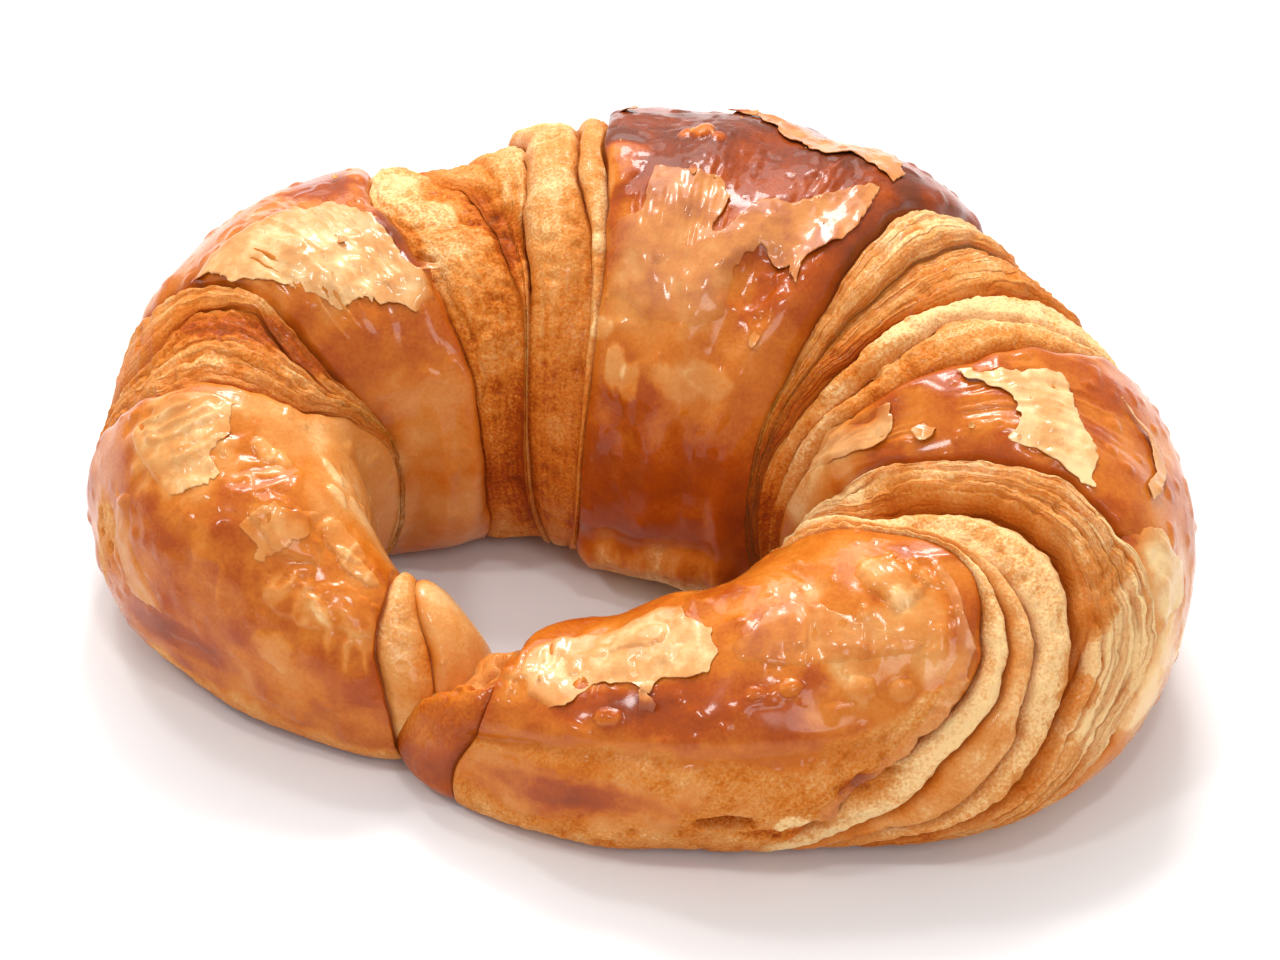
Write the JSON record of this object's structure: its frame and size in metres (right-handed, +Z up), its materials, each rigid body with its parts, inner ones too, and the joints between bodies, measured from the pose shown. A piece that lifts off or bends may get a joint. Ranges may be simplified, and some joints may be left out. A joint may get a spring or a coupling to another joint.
{
  "type": "croissant",
  "caption": "Golden layered croissant bent round into a closed ring, its tips pressed together, flat underneath.",
  "frame": {"origin": "middle of the croissant's footprint box, on the surface it rests on", "axes": "+X to the right as the tips face the viewer, +Y towards the thick back of the ring, +Z up"},
  "size_m": [0.1498, 0.12, 0.0575],
  "materials": {
    "crust": "baked dough: glossy orange-brown skin, pale rough layers in the creases"
  },
  "bodies": {
    "root": {"croissant": "crust"}
  },
  "joints": []
}
